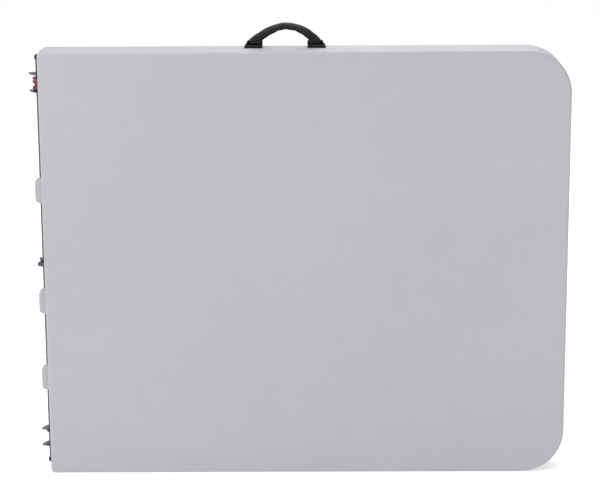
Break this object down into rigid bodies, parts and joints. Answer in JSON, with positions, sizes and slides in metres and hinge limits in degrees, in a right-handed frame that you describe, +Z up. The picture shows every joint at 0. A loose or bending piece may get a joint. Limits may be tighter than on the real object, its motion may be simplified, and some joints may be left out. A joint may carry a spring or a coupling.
{
  "type": "folding table",
  "caption": "Fold-in-half utility table with moulded plastic top halves, steel fold-away legs and a carry handle, stored folded on its long edge.",
  "frame": {"origin": "middle of the folded table's footprint, on the surface it stands on", "axes": "+X from the fold edge to the rounded outer end, +Y from the front half to the rear half, +Z up through the width"},
  "size_m": [0.935, 0.084, 0.7987],
  "materials": {
    "white_plastic": "pebbled moulded polyethylene",
    "grey_steel": "grey powder coat",
    "black_plastic": "fine textured moulded plastic",
    "red_plastic": "smooth moulded plastic"
  },
  "bodies": {
    "front_half": {"front_top_half": "white_plastic", "front_brace_mount": "grey_steel", "front_upper_rail": "grey_steel", "front_upper_hinge_plate_outer": "grey_steel", "front_upper_hinge_plate_inner": "grey_steel", "front_upper_leg_bracket": "grey_steel", "front_lower_rail": "grey_steel", "front_lower_hinge_plate_outer": "grey_steel", "front_lower_hinge_plate_inner": "grey_steel", "front_lower_leg_bracket": "grey_steel", "front_middle_knuckle": "grey_steel", "hinge_rod": "grey_steel", "hinge_rod_cap_upper": "black_plastic", "hinge_rod_cap_lower": "black_plastic"},
    "rear_half": {"rear_top_half": "white_plastic", "rear_brace_mount": "grey_steel", "rear_upper_rail": "grey_steel", "rear_upper_hinge_plate_outer": "grey_steel", "rear_upper_hinge_plate_inner": "grey_steel", "rear_upper_leg_bracket": "grey_steel", "rear_lower_rail": "grey_steel", "rear_lower_hinge_plate_outer": "grey_steel", "rear_lower_hinge_plate_inner": "grey_steel", "rear_lower_leg_bracket": "grey_steel", "rear_middle_knuckle_a": "grey_steel", "rear_middle_knuckle_b": "grey_steel", "handle_mount_fold_side": "black_plastic", "handle_mount_outer_side": "black_plastic"},
    "front_leg_set": {"front_pivot_tube": "grey_steel", "front_leg_spreader": "grey_steel", "front_upper_leg": "grey_steel", "front_upper_foot": "black_plastic", "front_lower_leg": "grey_steel", "front_lower_foot": "black_plastic"},
    "rear_leg_set": {"rear_pivot_tube": "grey_steel", "rear_leg_spreader": "grey_steel", "rear_upper_leg": "grey_steel", "rear_upper_foot": "black_plastic", "rear_lower_leg": "grey_steel", "rear_lower_foot": "black_plastic"},
    "front_brace_short": {"front_upper_brace_short_strip": "grey_steel", "front_lower_brace_short_strip": "grey_steel"},
    "rear_brace_short": {"rear_upper_brace_short_strip": "grey_steel", "rear_lower_brace_short_strip": "grey_steel"},
    "front_brace_long": {"front_upper_brace_long_strip": "grey_steel", "front_lower_brace_long_strip": "grey_steel"},
    "rear_brace_long": {"rear_upper_brace_long_strip": "grey_steel", "rear_lower_brace_long_strip": "grey_steel"},
    "carry_grip": {"handle_grip": "black_plastic"},
    "lock": {"red_lock": "red_plastic"}
  },
  "joints": [
    {"name": "fold", "type": "hinge", "parent": "front_half", "child": "rear_half", "pos_m": [-0.4512, 0, 0], "axis": [0, 0, 1], "range_deg": [0, 180]},
    {"name": "front_leg_fold", "type": "hinge", "parent": "front_half", "child": "front_leg_set", "pos_m": [0.4245, -0.018, 0], "axis": [0, 0, -1], "range_deg": [0, 86]},
    {"name": "rear_leg_fold", "type": "hinge", "parent": "rear_half", "child": "rear_leg_set", "pos_m": [0.4245, 0.018, 0], "axis": [0, 0, 1], "range_deg": [0, 86]},
    {"name": "front_brace_short_turn", "type": "hinge", "parent": "front_half", "child": "front_brace_short", "pos_m": [-0.0355, -0.0045, 0], "axis": [0, 0, -1], "range_deg": [0, 155.69]},
    {"name": "rear_brace_short_turn", "type": "hinge", "parent": "rear_half", "child": "rear_brace_short", "pos_m": [-0.0355, 0.0045, 0], "axis": [0, 0, 1], "range_deg": [0, 155.69]},
    {"name": "front_brace_long_turn", "type": "hinge", "parent": "front_leg_set", "child": "front_brace_long", "pos_m": [0.2045, -0.0045, 0], "axis": [0, 0, 1], "range_deg": [0, 110.31]},
    {"name": "rear_brace_long_turn", "type": "hinge", "parent": "rear_leg_set", "child": "rear_brace_long", "pos_m": [0.2045, 0.0045, 0], "axis": [0, 0, -1], "range_deg": [0, 110.31]},
    {"name": "handle_swing", "type": "hinge", "parent": "rear_half", "child": "carry_grip", "pos_m": [-0.024, 0.021, 0.765], "axis": [1, 0, 0], "range_deg": [-70, 70]},
    {"name": "lock_slide", "type": "slide", "parent": "front_half", "child": "lock", "axis": [0, 0, 1], "range_m": [0, 0.0025]}
  ],
  "couplings": [
    {"joint": "front_leg_fold", "follows": "fold", "ratio": 0.47778},
    {"joint": "rear_leg_fold", "follows": "fold", "ratio": 0.47778},
    {"joint": "front_brace_short_turn", "follows": "fold", "ratio": 0.86496},
    {"joint": "rear_brace_short_turn", "follows": "fold", "ratio": 0.86496},
    {"joint": "front_brace_long_turn", "follows": "fold", "ratio": 0.61281},
    {"joint": "rear_brace_long_turn", "follows": "fold", "ratio": 0.61281}
  ]
}
